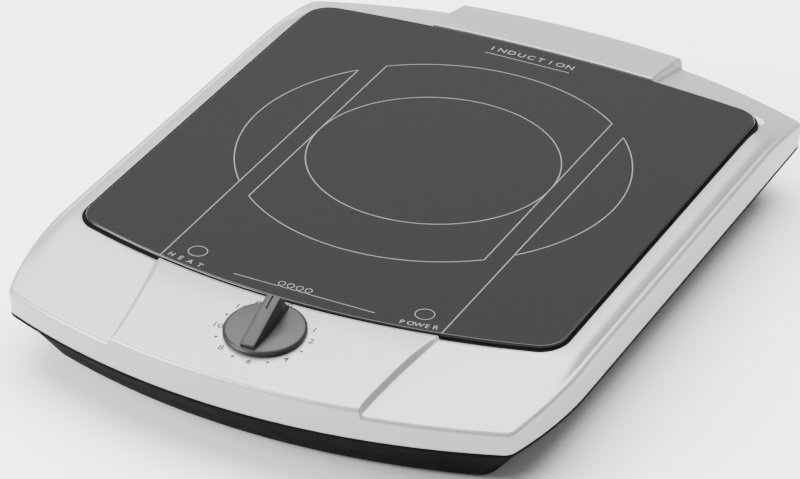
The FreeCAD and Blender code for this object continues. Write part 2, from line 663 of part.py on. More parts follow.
def coil_unit():
    """Induction coil on its carrier, under the middle of the glass."""
    centre = (0, "zone_y")
    ring = rod("carrier_ring", "carrier_radius", "winding_low - carrier_low", (*centre, "carrier_low"))
    gap = rod("carrier_gap", "carrier_radius - 5", 20, (*centre, "carrier_low - 5"))
    pieces = [cut("carrier_rim", ring, gap),
              rod("carrier_centre", "carrier_hub", "winding_low - carrier_low", (*centre, "carrier_low"))]
    pockets = [rod("sensor_hole", 6.4, 20, (*centre, "carrier_low - 5"))]
    bars = []
    for step in range(8):
        turn = Rotation(Vector(0, 0, 1), 45 * step)
        arm = turn.multVec(Vector(20, -8, 0))
        bar = turn.multVec(Vector(29, -DIMENSIONS["ferrite_width"] / 2, 0))
        arm_at = (arm.x, "zone_y + (%r)" % arm.y, "carrier_low")
        bar_at = (bar.x, "zone_y + (%r)" % bar.y, "carrier_low")
        height = "winding_low - carrier_low"
        size = ("ferrite_length", "ferrite_width", height)
        pieces.append(box("carrier_arm", (70, 16, height), arm_at, turn))
        pockets.append(box("ferrite_pocket", size, bar_at, turn))
        bars.append(box("ferrite_bar", size, bar_at, turn))
    carrier = cut("carrier", fuse("carrier_blank", pieces), fuse("carrier_pockets", pockets))
    publish("coil_carrier", carrier)
    publish("ferrite_bars", group("ferrite_set", bars))
    publish("coil_winding", winding())
    sheet_ring = rod("mica", "mica_radius", "mica_top - winding_high", (*centre, "winding_high"))
    publish("insulation_sheet", cut("mica_ring", sheet_ring, rod("mica_hole", 7, 6, (*centre, 50))))
    foot = rod("sensor_foot", 6.2, "winding_high - carrier_low", (*centre, "carrier_low"))
    cap = rod("sensor_cap", 4, 2, (*centre, "winding_high - 1.3"))
    publish("glass_temperature_sensor", fuse("sensor", [foot, cap]))


def winding():
    """Flat spiral winding, drawn as close rings on a thin backing."""
    inner, outer = value("winding_inner"), value("winding_outer")
    low, high = value("winding_low"), value("winding_high")
    pitch = (outer - inner) / value("winding_turns")
    points = [Vector(outer, 0, low), Vector(inner, 0, low)]
    for turn in range(int(value("winding_turns"))):
        start = inner + turn * pitch
        points += [Vector(start, 0, high - 1.2), Vector(start + 0.25 * pitch, 0, high),
                   Vector(start + 0.75 * pitch, 0, high)]
    points += [Vector(outer, 0, high - 1.2), points[0]]
    ring = Part.Face(Part.makePolygon(points)).revolve(Vector(0, 0, 0), Vector(0, 0, 1), 360)
    thing = doc.addObject("Part::Feature", "winding")
    thing.Shape = ring
    return place(thing, (0, "zone_y", 0))


def coil_bracket():
    """Aluminium plate that screens the boards from the coil, and the silicone cushions under the coil."""
    width = "2 * bracket_half"
    depth = "bracket_back - bracket_front"
    plate = box("bracket_plate", (width, depth, "bracket_thickness"),
                ("-bracket_half", "bracket_front", "bracket_low"))
    holes = [rod("bracket_hole", 1.5, 6, (x, y, "bracket_low - 2")) for x, y in BRACKET_SPOTS]
    holes.append(rod("lead_hole", 16, 6, (0, "zone_y", "bracket_low - 2")))
    publish("shield_plate", cut("bracket", plate, fuse("bracket_holes", holes)))
    screws = [screw("bracket_screw", 3, 2, 1.5, 9, (x, y, "bracket_low + bracket_thickness + 2"), HEAD_UP)
              for x, y in BRACKET_SPOTS]
    publish("shield_screws", group("bracket_screw_set", screws))
    base = "bracket_low + bracket_thickness"
    cushions = [rod("cushion", 5.5, "carrier_low - (%s)" % base, (x, "zone_y + (%r)" % y, base))
                for x in (-60.8, 60.8) for y in (-60.8, 60.8)]
    publish("coil_cushions", group("cushion_set", cushions))


# ---- power electronics and cooling ---------------------------------------------------------------------

def fan():
    """Axial fan: frame with the motor, and the impeller on its pin."""
    size = ("2 * fan_half", "2 * fan_half", "fan_height")
    centre = ("fan_x", "fan_y")
    case = centred_box("fan_case", size, (*centre, "fan_low"))
    bore = rod("fan_duct", "fan_bore", 40, (*centre, "fan_low - 5"))
    struts = [centred_box("fan_strut", (6, "2 * fan_bore + 3", 2.4), (*centre, "fan_low")),
              centred_box("fan_cross", ("2 * fan_bore + 3", 6, 2.4), (*centre, "fan_low")),
              rod("motor_plate", "fan_hub", 2.4, (*centre, "fan_low")),
              rod("stator", "stator_radius", "fan_height - 6", (*centre, "fan_low"))]
    holes = [rod("pin_bore", "fan_pin + 0.05", 30, (*centre, "fan_low + 1"))]
    spots = [("fan_x %s fan_hole_half" % across, "fan_y %s fan_hole_half" % along)
             for across in "+-" for along in "+-"]
    holes += [rod("fan_hole", 1.6, 40, (x, y, 0)) for x, y in spots]
    body = fuse("fan_blank", [cut("fan_ring", case, bore)] + struts)
    publish("fan_frame", cut("fan_body", body, fuse("fan_holes", holes)))
    cap = rod("hub_cap", "fan_hub", "fan_height - 5.2", (*centre, "fan_low + 3.4"))
    room = rod("hub_room", "stator_radius + 0.6", "fan_height - 7", (*centre, "fan_low + 3.2"))
    pin = rod("fan_pin", "fan_pin", "fan_height - 4", (*centre, "fan_low + 1.6"))
    blades = []
    for step in range(7):
        turn = Rotation(Vector(0, 0, 1), 360 * step / 7) * Rotation(Vector(1, 0, 0), 38)
        corner = turn.multVec(Vector(DIMENSIONS["fan_hub"] - 1, -8, -0.7))
        at = ("fan_x + (%r)" % corner.x, "fan_y + (%r)" % corner.y, "fan_low + 10.6 + (%r)" % corner.z)
        blades.append(box("fan_blade", (30, 16, 1.4), at, turn))
    sweep = rod("blade_sweep", "fan_tip", "fan_height - 6", (*centre, "fan_low + 4"))
    vanes = overlap("fan_vanes", [fuse("fan_blades", blades), sweep])
    hub = cut("fan_cup", fuse("fan_wheel", [cap, vanes]), room)
    publish("fan_impeller", fuse("impeller", [hub, pin]))
    screws = [screw("fan_screw", 2.8, 1.8, 1.6, "fan_low + fan_height - 7.5",
                    (x, y, "fan_low + fan_height + 1.8"), HEAD_UP) for x, y in spots]
    publish("fan_screws", group("fan_screw_set", screws))


def power_board():
    """Power board with the parts that stand on it."""
    top = "board_low + board_plate"
    plate = box("power_plate", ("board_right - board_left", "board_back - board_front", "board_plate"),
                ("board_left", "board_front", "board_low"))
    holes = [rod("power_hole", 1.25, 6, (x, y, "board_low - 2")) for x, y in BOARD_SPOTS]
    publish("power_board", cut("power", plate, fuse("power_holes", holes)))
    screws = [screw("board_screw", 2.6, 1.8, 1.25, 6.4, (x, y, "%s + 1.8" % top), HEAD_UP)
              for x, y in BOARD_SPOTS]
    publish("power_board_screws", group("board_screw_set", screws))
    fins = [box("sink_base", (52, 56, 3), (-8, 96, "%s + 6" % top))]
    fins += [box("sink_fin", (52, 1.6, 7.6), (-8, 96 + 6.8 * step, "%s + 8" % top)) for step in range(9)]
    publish("heat_sink", fuse("sink", fins))
    for name, x in (("power_transistor", -2), ("bridge_rectifier", 24)):
        publish(name, box(name + "_case", (15.6, 20, 4.6), (x, 112, "%s + 1.4" % top)))
    parts = {"resonance_capacitor": (70, 104, 30, 17, 13.5), "filter_capacitor": (70, 126, 26, 13, 13),
             "bus_capacitor": (52, 60, 31, 16, 12), "relay": (90, 62, 18, 15, 13),
             "auxiliary_transformer": (8, 58, 24, 20, 12.5), "current_transformer": (38, 60, 11, 15, 12.5),
             "terminal_block": (76, 142, 24, 12, 12)}
    for name, (x, y, length, width, height) in parts.items():
        case = doc.addObject("Part::Box", name + "_box")
        bind(case, Length=length, Width=width, Height=height)
        place(case, (x, y, top))
        rounded = doc.addObject("Part::Fillet", name + "_case")
        doc.recompute()
        rounded.Base = case
        rounded.Edges = [(index, 0.8, 0.8) for index in edge_numbers_on_top(case)]
        publish(name, rounded)
    cans = [rod("can", 4.5, 12, (x, 86, top)) for x in (12, 24, 36)]
    publish("electrolytic_capacitors", group("can_set", cans))
    choke_at = (62, 90, top)
    core = cut("choke_blank", rod("choke_outer", 11, 12, choke_at), rod("choke_inner", 4.5, 14, choke_at))
    publish("filter_choke", core)
    fuse_tube = rod("fuse_tube", 2.6, 20, (86, 90, "%s + 4" % top), Rotation(Vector(0, 1, 0), 90))
    ends = [box("fuse_clip", (4, 6, 5), (x, 87, top)) for x in (86, 102)]
    publish("mains_fuse", fuse("fuse_part", [fuse_tube] + ends))
    publish("beeper", rod("beeper_case", 6, 7, (-12, 74, top)))


def edge_numbers_on_top(thing):
    """Numbers of the edges round the top of a box."""
    high = thing.Shape.BoundBox.ZMax
    return [index for index, edge in enumerate(thing.Shape.Edges, start=1)
            if abs(edge.BoundBox.ZMin - high) < 0.01]


def cable(name, route, radius):
    """A held cable: straight runs joined by tangent arcs, its volume checked against its length."""
    points = [Vector(*point) for point in route]
    pieces = []
    at = points[0]
    for before, corner, after in zip(points, points[1:], points[2:]):
        back, ahead = (before - corner), (after - corner)
        trim = 0.45 * min(back.Length, ahead.Length)
        start = corner + back.normalize() * trim
        end = corner + ahead.normalize() * trim
        half_turn = (math.pi - back.getAngle(ahead)) / 2
        bend = trim / math.tan(half_turn)
        inward = (back + ahead).normalize()
        middle = corner + inward * (bend / math.cos(half_turn) - bend)
        pieces.append(Part.LineSegment(at, start).toShape())
        pieces.append(Part.Arc(start, middle, end).toShape())
        at = end
    pieces.append(Part.LineSegment(at, points[-1]).toShape())
    path = Part.Wire(pieces)
    section = Part.Wire(Part.makeCircle(radius, points[0], points[1] - points[0]))
    thing = doc.addObject("Part::Feature", name)
    thing.Shape = path.makePipeShell([section], True, True)
    expected = math.pi * radius ** 2 * path.Length
    if abs(thing.Shape.Volume / expected - 1) > 0.02:
        raise ValueError("%s: volume does not match its length" % name)
    return thing


def internal_leads():
    """Wires between the coil, the boards and the fan, each clipped along its route."""
    coil = [cable("coil_lead", [(x, 72, 15.2), (x, 72, 22), (x - 3, 54, 26), (x - 4, 36, 27.5), (x - 4, 26, 36),
                                (x - 4, 22, 42)], 1.3) for x in (-4, 6)]
    publish("coil_leads", group("coil_lead_set", coil))
    ribbon = [cable("control_wire", [(x, 56, 14.4), (x, 46, 17), (x, 20, 10), (x, -60, 9.4), (x, -100, 20),
                                     (x, -124, 39.8)], 0.7) for x in (24, 25.8, 27.6, 29.4)]
    publish("control_leads", group("control_lead_set", ribbon))
    fan_wires = [cable("fan_wire", [(-28.8, 90 + y, 10), (-25, 90 + y, 11), (-21, 90 + y, 16), (-17, 90 + y, 14.3)],
                       0.6) for y in (0, 1.6)]
    publish("fan_leads", group("fan_lead_set", fan_wires))


def cord_inlet():
    """Gland in the rear wall where the mains cord enters, and the clamp behind it."""
    low = "boss_front - flange_thickness"
    sleeve = rod("gland_sleeve", "gland_radius", "gland_length", ("gland_x", low, "gland_z"), BACKWARD)
    flange = rod("gland_flange", "flange_radius", "flange_thickness", ("gland_x", "boss_back", "gland_z"), BACKWARD)
    inner_flange = rod("gland_lock", "flange_radius", "flange_thickness", ("gland_x", low, "gland_z"), BACKWARD)
    bore = rod("gland_bore", 3.7, 60, ("gland_x", 160, "gland_z"), BACKWARD)
    publish("cord_gland", cut("gland", fuse("gland_blank", [sleeve, flange, inner_flange]), bore))
    feet_blocks = [box("clamp_foot", (6, 8, 18.2), (x, 162, 6.4)) for x in (86, 108)]
    holes = [rod("clamp_hole", 1.4, 30, (x, 166, 10)) for x in (89, 111)]
    blank = fuse("clamp_blank", [box("clamp_bar", (28, 8, 5), (86, 162, 24.2))] + feet_blocks)
    publish("cord_clamp", cut("clamp", blank, fuse("clamp_holes", holes)))
    screws = [screw("clamp_screw", 2.6, 1.8, 1.4, 14, (x, 166, 31), HEAD_UP) for x in (89, 111)]
    publish("cord_clamp_screws", group("clamp_screw_set", screws))


def air_baffle():
    """Wall beside the fan that keeps warm air out of its intake."""
    wall = box("baffle_wall", (1.8, 118, 20), (-27.4, 56, 6.4))
    wing = box("baffle_wing", (22, 1.8, 20), (-27.4, 172.2, 6.4))
    notch = box("baffle_notch", (6, 8, 12), (-29, 87, 6.4))
    publish("air_baffle", cut("baffle", fuse("baffle_blank", [wall, wing]), notch))


def check_and_write():
    """Stop if anything failed, then write one STEP file for each sub-part, the plan box centred."""
    doc.recompute()
    for thing in doc.Objects:
        if "Invalid" in thing.State or "Error" in thing.State:
            raise RuntimeError("%s failed: %s" % (thing.Name, thing.State))
    for thing in NODES:
        if thing.Shape.isNull() or not thing.Shape.isValid():
            raise RuntimeError("%s has no valid shape" % thing.Label)
    for thing in NODES:
        shape = thing.Shape.copy()
        shape.translate(Vector(0, -value("middle_y"), 0))
        shape.exportStep("parts/%s.step" % thing.Label)
    print("%d sub-parts written" % len(NODES))


fill_sheet()
top_cover()
glass_and_seal()
base_tray()
housing_screws()
feet()
control_knob()
control_board()
coil_unit()
coil_bracket()
fan()
power_board()
internal_leads()
cord_inlet()
air_baffle()
check_and_write()
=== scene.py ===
"""Looks of a portable induction cooktop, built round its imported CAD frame. Metres, Z up."""
import bpy
import json
import math
from mathutils import Matrix, Vector


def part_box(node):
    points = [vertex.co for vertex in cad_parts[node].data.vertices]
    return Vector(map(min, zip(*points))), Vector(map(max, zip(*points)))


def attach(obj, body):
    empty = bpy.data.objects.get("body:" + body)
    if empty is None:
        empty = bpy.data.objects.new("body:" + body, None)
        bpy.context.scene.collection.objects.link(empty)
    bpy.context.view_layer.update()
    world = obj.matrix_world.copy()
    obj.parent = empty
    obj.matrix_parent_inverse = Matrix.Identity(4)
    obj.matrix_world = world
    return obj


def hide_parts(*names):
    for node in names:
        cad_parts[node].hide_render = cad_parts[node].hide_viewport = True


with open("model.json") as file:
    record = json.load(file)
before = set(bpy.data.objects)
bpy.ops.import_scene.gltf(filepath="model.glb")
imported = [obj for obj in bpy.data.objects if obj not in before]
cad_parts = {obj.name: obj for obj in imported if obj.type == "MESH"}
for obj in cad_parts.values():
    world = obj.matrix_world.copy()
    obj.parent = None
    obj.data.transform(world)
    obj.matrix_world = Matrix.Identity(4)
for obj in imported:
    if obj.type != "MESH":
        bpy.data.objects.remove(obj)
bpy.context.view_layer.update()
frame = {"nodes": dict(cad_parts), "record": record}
NODES = frame["nodes"]

# ---- sizes shared with the CAD model, in metres ------------------------------------------------------
GLASS_LOW, GLASS_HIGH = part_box("glass_plate")
COVER_LOW, COVER_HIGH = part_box("top_cover")
TOP = GLASS_HIGH.z
MIDDLE_Y = 0.00675  # pieces are drawn this far behind their place, then moved by mesh_piece
ZONE = Vector((0, 0.0305, TOP))
GLASS_HALF, GLASS_CORNER = GLASS_HIGH.x, 0.016
GLASS_FRONT, GLASS_BACK = GLASS_LOW.y + MIDDLE_Y, GLASS_HIGH.y + MIDDLE_Y
GLASS_FRONT_RADIUS, GLASS_BACK_RADIUS = 0.420, 0.907
SEAL = 0.002
HALF, FRONT, BACK = COVER_HIGH.x, COVER_LOW.y + MIDDLE_Y, COVER_HIGH.y + MIDDLE_Y
END_RADIUS, TAPER_START, TAPER_RADIUS = 0.372, -0.1095, 0.2434
FRONT_CORNER_HALF, CORNER_FRONT, CORNER_BACK = 0.1452, 0.009, 0.008
COVER_BOTTOM, COVER_WALL, EDGE_ROUND, DRAFT = COVER_LOW.z, 0.0022, 0.0030, 0.0009
FRAME_DROP, ROLL_WIDTH, RIM_HEIGHT = 0.0016, 0.014, 0.0478
BACK_DROP, BACK_DROP_START = 0.012, 0.171
FRONT_SLOPE, FRONT_TWIST = 0.1397, 1.3
PANEL_HALF_BACK, PANEL_HALF_MIDDLE, PANEL_HALF_FRONT = 0.0819, 0.0746, 0.0707
PANEL_BACK, PANEL_MIDDLE, PANEL_FRONT = -0.1295, -0.16935, -0.2067
PANEL_SLOPE, PANEL_LEAD, PANEL_CROWN = 0.127, 0.010, 3.3
HUMP_HALF, HUMP_DROP, HUMP_CROWN = 0.0693, 0.0079, 0.12
STEP_WIDTH = 0.0005
KNOB = Vector((0, -0.1665, 0.05475))
PANEL_TILT = math.radians(6.7)
INNER_RING, OUTER_ARC = 0.070, 0.1088
INNER_LINE, OUTER_LINE = 0.070, 0.0819
LINE_WIDTH, INK = 0.00054, 0.00003
LAMP_X, LAMP_Y, LAMP_RING = 0.0663, -0.1165, 0.0051
DIAL_RADIUS, CAP_HEIGHT = 0.0253, 0.694
KNOB_RADIUS, KNOB_GAP, DISC_TOP = 0.0219, 0.0005, 0.0030
GRIP_FRONT, GRIP_BACK, GRIP_CREST = -0.0196, 0.0193, 0.0109
GRIP_FRONT_TOP, GRIP_CREST_TOP, GRIP_HALF, GRIP_BULGE = 0.0050, 0.0151, 0.00385, 0.0016
COVER_SPACING = 0.0008


# ---- materials ---------------------------------------------------------------------------------------

def material(name, color, roughness, metallic=0.0, coat=0.0, coat_roughness=0.1, ior=1.5):
    """A Principled material with its uniform values on the shader's own sockets."""
    thing = bpy.data.materials.new(name)
    thing.use_nodes = True
    shader = thing.node_tree.nodes["Principled BSDF"]
    shader.inputs["Base Color"].default_value = (*color, 1)
    shader.inputs["Roughness"].default_value = roughness
    shader.inputs["Metallic"].default_value = metallic
    shader.inputs["Coat Weight"].default_value = coat
    shader.inputs["Coat Roughness"].default_value = coat_roughness
    shader.inputs["IOR"].default_value = ior
    return thing


def noise(thing, scale, detail=3.0):
    """A noise texture in the object's own coordinates."""
    tree = thing.node_tree
    place = tree.nodes.new("ShaderNodeTexCoord")
    texture = tree.nodes.new("ShaderNodeTexNoise")
    texture.inputs["Scale"].default_value = scale
    texture.inputs["Detail"].default_value = detail
    tree.links.new(place.outputs["Object"], texture.inputs["Vector"])
    return texture


def ramp(thing, source, low, high):
    """Map a factor to a range of colours or of grey values."""
    node = thing.node_tree.nodes.new("ShaderNodeValToRGB")
    node.color_ramp.elements[0].position = 0.3
    node.color_ramp.elements[1].position = 0.7
    node.color_ramp.elements[0].color = (*low, 1)
    node.color_ramp.elements[1].color = (*high, 1)
    thing.node_tree.links.new(source.outputs["Fac"], node.inputs["Fac"])
    return node


def vary(thing, scale, color_low, color_high, rough_low, rough_high):
    """Let colour and roughness wander a little over the surface."""
    shader = thing.node_tree.nodes["Principled BSDF"]
    broad = noise(thing, scale)
    colors = ramp(thing, broad, color_low, color_high)
    greys = ramp(thing, noise(thing, scale * 1.7, 5.0), (rough_low,) * 3, (rough_high,) * 3)
    thing.node_tree.links.new(colors.outputs["Color"], shader.inputs["Base Color"])
    thing.node_tree.links.new(greys.outputs["Color"], shader.inputs["Roughness"])


def grain(thing, scale, strength):
    """A fine bump, a tenth of a millimetre deep at full strength."""
    tree = thing.node_tree
    bump = tree.nodes.new("ShaderNodeBump")
    bump.inputs["Strength"].default_value = strength
    bump.inputs["Distance"].default_value = 0.0001
    tree.links.new(noise(thing, scale, 4.0).outputs["Fac"], bump.inputs["Height"])
    tree.links.new(bump.outputs["Normal"], tree.nodes["Principled BSDF"].inputs["Normal"])


def silver_paint():
    """Satin silver lacquer with a fine metallic flake."""
    thing = material("silver_paint", (0.305, 0.312, 0.319), 0.36, metallic=0.45, coat=0.25,
                     coat_roughness=0.22)
    vary(thing, 9, (0.295, 0.301, 0.308), (0.315, 0.321, 0.328), 0.34, 0.40)
    grain(thing, 2600, 0.05)
    return thing


def glass_ceramic():
    """Polished dark glass-ceramic with a faint speckle under the surface."""
    thing = material("glass_ceramic", (0.010, 0.010, 0.011), 0.07, ior=1.52)
    vary(thing, 1400, (0.009, 0.009, 0.010), (0.012, 0.012, 0.013), 0.06, 0.09)
    return thing


def moulded(name, dark, light, rough_low, rough_high, scale=1500, strength=0.25):
    """Moulded plastic or rubber with a fine grain."""
    thing = material(name, dark, rough_low)
    vary(thing, 60, dark, light, rough_low, rough_high)
    grain(thing, scale, strength)
    return thing


def metal(name, dark, light, rough_low, rough_high):
    """Bare or plated metal with fine marks."""
    thing = material(name, dark, rough_low, metallic=1.0)
    vary(thing, 300, dark, light, rough_low, rough_high)
    grain(thing, 900, 0.08)
    return thing


MATERIALS = {
    "cover_plastic": silver_paint(),
    "glass_ceramic": glass_ceramic(),
    "seal_rubber": moulded("seal_rubber", (0.002, 0.002, 0.002), (0.004, 0.004, 0.004), 0.6, 0.7),
    "tray_plastic": moulded("tray_plastic", (0.002, 0.002, 0.002), (0.004, 0.004, 0.004), 0.6, 0.7),
    "foot_rubber": moulded("foot_rubber", (0.003, 0.003, 0.003), (0.006, 0.006, 0.006), 0.7, 0.8),
    "knob_plastic": moulded("knob_plastic", (0.010, 0.010, 0.011), (0.014, 0.014, 0.015), 0.34, 0.42,
                            2200, 0.1),
    "screw_steel": metal("screw_steel", (0.5, 0.5, 0.51), (0.62, 0.62, 0.63), 0.25, 0.4),
    "board_green": moulded("board_green", (0.01, 0.09, 0.03), (0.02, 0.13, 0.05), 0.35, 0.5, 400, 0.1),
    "black_component": moulded("black_component", (0.015, 0.015, 0.015), (0.025, 0.025, 0.025), 0.4, 0.5),
    "red_lamp": moulded("red_lamp", (0.45, 0.03, 0.02), (0.55, 0.05, 0.03), 0.1, 0.2, 300, 0.05),
    "clear_guide": moulded("clear_guide", (0.7, 0.72, 0.72), (0.8, 0.8, 0.8), 0.1, 0.2, 300, 0.05),
    "capacitor_case": moulded("capacitor_case", (0.6, 0.32, 0.05), (0.7, 0.4, 0.08), 0.4, 0.5),
    "carrier_plastic": moulded("carrier_plastic", (0.25, 0.23, 0.2), (0.32, 0.3, 0.26), 0.5, 0.6),
    "copper_wire": metal("copper_wire", (0.55, 0.24, 0.10), (0.7, 0.33, 0.15), 0.3, 0.45),
    "ferrite": moulded("ferrite", (0.05, 0.05, 0.055), (0.08, 0.08, 0.085), 0.5, 0.7),
    "mica": moulded("mica", (0.6, 0.55, 0.45), (0.72, 0.68, 0.58), 0.4, 0.6, 500, 0.3),
    "aluminium_sheet": metal("aluminium_sheet", (0.72, 0.73, 0.74), (0.8, 0.81, 0.82), 0.3, 0.45),
    "wire_insulation": moulded("wire_insulation", (0.4, 0.04, 0.03), (0.5, 0.07, 0.05), 0.45, 0.55),
}
SHEEN = {"seal_rubber": 0.03, "tray_plastic": 0.03, "foot_rubber": 0.05, "knob_plastic": 0.25,
         "glass_ceramic": 0.36}
for slot, level in SHEEN.items():
    MATERIALS[slot].node_tree.nodes["Principled BSDF"].inputs["Specular IOR Level"].default_value = level
PRINT = moulded("print_grey", (0.10, 0.10, 0.104), (0.13, 0.13, 0.134), 0.45, 0.55, 3000, 0.05)
DIAL_INK = moulded("dial_black", (0.002, 0.002, 0.002), (0.004, 0.004, 0.004), 0.6, 0.7, 3000, 0.05)


# ---- mesh helpers --------------------------------------------------------------------------------------

def mesh_piece(name, vertices, faces, look, body="root", smooth=True):
    """A new mesh piece that rides on a body."""
    mesh = bpy.data.meshes.new(name)
    mesh.from_pydata([(vertex.x, vertex.y - MIDDLE_Y, vertex.z) for vertex in vertices], [], faces)
    mesh.polygons.foreach_set("use_smooth", [smooth] * len(mesh.polygons))
    piece = bpy.data.objects.new(name, mesh)
    bpy.context.scene.collection.objects.link(piece)
    mesh.materials.append(look)
    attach(piece, body)
    return piece


def rings_piece(name, rings, look):
    """A closed skin over rings of equally many points; the last ring joins the first."""
    count = len(rings[0])
    vertices = [point for ring in rings for point in ring]
    faces = []
    for row in range(len(rings)):
        low, high = row * count, (row + 1) % len(rings) * count
        for index in range(count):
            following = (index + 1) % count
            faces.append((low + index, low + following, high + following, high + index))
    return mesh_piece(name, vertices, faces, look)


def arc(centre, radius, start, end, count):
    """Points along an arc, angles in radians, anticlockwise if the end is larger."""
    angles = [start + (end - start) * step / count for step in range(count + 1)]
    return [Vector((centre[0] + radius * math.cos(a), centre[1] + radius * math.sin(a))) for a in angles]


def bowed_side(start, end, radius):
    """Points from start to end, on an arc whose centre is on the left, or straight."""
    if radius is None:
        return [start.lerp(end, step / 200) for step in range(201)]
    chord = end - start
    left = Vector((-chord.y, chord.x)).normalized()
    centre = (start + end) / 2 + left * math.sqrt(radius ** 2 - (chord.length / 2) ** 2)
    first = math.atan2(start.y - centre.y, start.x - centre.x)
    last = math.atan2(end.y - centre.y, end.x - centre.x)
    return arc(centre, radius, first, last + (2 * math.pi if last < first else 0), 200)


def rounded_outline(corners, spacing):
    """Evenly spaced points round a plan; each corner is (x, y, its radius, radius of the next side)."""
    spots = [Vector((x, y)) for x, y, radius, bow in corners]
    count = len(corners)
    sides = [bowed_side(spots[i], spots[(i + 1) % count], corners[i][3]) for i in range(count)]
    into = [(sides[i - 1][-1] - sides[i - 1][-2]).normalized() for i in range(count)]
    out = [(sides[i][1] - sides[i][0]).normalized() for i in range(count)]
    turns = [math.atan2(a.x * b.y - a.y * b.x, a.dot(b)) for a, b in zip(into, out)]
    trims = [corners[i][2] * math.tan(turns[i] / 2) for i in range(count)]
    path = []
    for i in range(count):
        radius = corners[i][2]
        if radius:
            start = spots[i] - into[i] * trims[i]
            centre = start + Vector((-into[i].y, into[i].x)) * radius
            heading = math.atan2(start.y - centre.y, start.x - centre.x)
            path += arc(centre, radius, heading, heading + turns[i], 16)
        following = (i + 1) % count
        path += [point for point in sides[i] if (point - spots[i]).length > trims[i] + 1e-6
                 and (point - spots[following]).length > trims[following] + 1e-6]
    return resampled(path, spacing)


def resampled(path, spacing):
    """The same closed line with evenly spaced points."""
    loop = path + [path[0]]
    lengths = [0.0]
    for here, there in zip(loop, loop[1:]):
        lengths.append(lengths[-1] + (there - here).length)
    count = int(lengths[-1] / spacing)
    points, index = [], 0
    for step in range(count):
        target = lengths[-1] * step / count
        while lengths[index + 1] < target:
            index += 1
        span = max(lengths[index + 1] - lengths[index], 1e-9)
        points.append(loop[index].lerp(loop[index + 1], (target - lengths[index]) / span))
    return points


def inset(loop, distance):
    """The loop moved inwards along its own normals."""
    count = len(loop)
    moved = []
    for index, point in enumerate(loop):
        along = loop[(index + 1) % count] - loop[index - 1]
        moved.append(point + Vector((-along.y, along.x)).normalized() * distance)
    return moved


def onto_loop(points, loop, centre):
    """Each point's place on another loop, on the line from a centre through the point."""
    polar = sorted((math.atan2(p.y - centre.y, p.x - centre.x), (p - centre).length) for p in loop)
    polar = [(polar[-1][0] - 2 * math.pi, polar[-1][1])] + polar + [(polar[0][0] + 2 * math.pi, polar[0][1])]
    found = []
    for point in points:
        angle = math.atan2(point.y - centre.y, point.x - centre.x)
        low, high = 0, len(polar) - 1
        while high - low > 1:
            middle = (low + high) // 2
            if polar[middle][0] <= angle:
                low = middle
            else:
                high = middle
        share = (angle - polar[low][0]) / (polar[high][0] - polar[low][0])
        reach = polar[low][1] + (polar[high][1] - polar[low][1]) * share
        found.append(centre + Vector((math.cos(angle), math.sin(angle))) * reach)
    return found


# ---- top cover -------------------------------------------------------------------------------------------

def soft_ramp(distance, softness):
    """Zero behind, the distance ahead, and a smooth bend between."""
    return (distance + math.sqrt(distance ** 2 + softness ** 2)) / 2


def smooth_step(value, width):
    """Zero below -width, one above width, smooth between."""
    share = min(1, max(0, (value + width) / (2 * width)))
    return share * share * (3 - 2 * share)


def frame_height(x, y):
    """Height of the frame beside the glass."""
    outer = HALF
    if y < TAPER_START:
        outer -= TAPER_RADIUS - math.sqrt(TAPER_RADIUS ** 2 - (y - TAPER_START) ** 2)
    roll = max(0, abs(x) - outer + ROLL_WIDTH) / ROLL_WIDTH
    front = soft_ramp(GLASS_FRONT + x ** 2 / (2 * GLASS_FRONT_RADIUS) - y, 0.008)
    back = soft_ramp(y - BACK_DROP_START + x ** 2 / (2 * END_RADIUS), 0.008)
    sloped = (TOP - FRAME_DROP - (FRONT_SLOPE + FRONT_TWIST * x ** 2) * front
              - BACK_DROP * back / (BACK - BACK_DROP_START))
    return sloped - soft_ramp(sloped - RIM_HEIGHT, 0.001) * min(roll, 1.5) ** 3


def panel_height(x, y):
    """Height of the control panel."""
    fall = soft_ramp(GLASS_FRONT - PANEL_LEAD - y, 0.012)
    return TOP - fall * (PANEL_SLOPE + PANEL_CROWN * x ** 2)


def hump_height(x, y):
    """Height of the raised middle behind the glass."""
    run = max(0, y - GLASS_BACK) / (BACK - GLASS_BACK)
    return TOP - 0.0002 - HUMP_DROP * run ** 1.5 - HUMP_CROWN * x ** 2 * run


def panel_half(y):
    """Half the panel's width: it narrows to the front in a slight curve."""
    y = min(y, PANEL_BACK)
    spots = ((PANEL_BACK, PANEL_HALF_BACK), (PANEL_MIDDLE, PANEL_HALF_MIDDLE),
             (PANEL_FRONT, PANEL_HALF_FRONT))
    total = 0
    for here, half in spots:
        share = half
        for other in (spot[0] for spot in spots):
            if other != here:
                share *= (y - other) / (here - other)
        total += share
    return total


def cover_height(x, y):
    """Height of the cover's top, with soft steps beside the panel and the hump."""
    low = frame_height(x, y)
    if y < 0:
        share = smooth_step(panel_half(y) - abs(x), STEP_WIDTH)
        return low + (panel_height(x, y) - low) * share
    share = smooth_step(HUMP_HALF - abs(x), STEP_WIDTH) * smooth_step(y - GLASS_BACK + 0.02, 0.01)
    return low + (hump_height(x, y) - low) * share


def cover_plan(spacing):
    """The cover's outline."""
    def end(half, y, sign):
        return y + sign * (END_RADIUS - math.sqrt(END_RADIUS ** 2 - half ** 2))
    front, back = end(FRONT_CORNER_HALF, FRONT, 1), end(HALF, BACK, -1)
    corners = [(-FRONT_CORNER_HALF, front, CORNER_FRONT, END_RADIUS),
               (FRONT_CORNER_HALF, front, CORNER_FRONT, TAPER_RADIUS),
               (HALF, TAPER_START, 0, None), (HALF, back, CORNER_BACK, END_RADIUS),
               (-HALF, back, CORNER_BACK, None), (-HALF, TAPER_START, 0, TAPER_RADIUS)]
    return rounded_outline(corners, spacing)


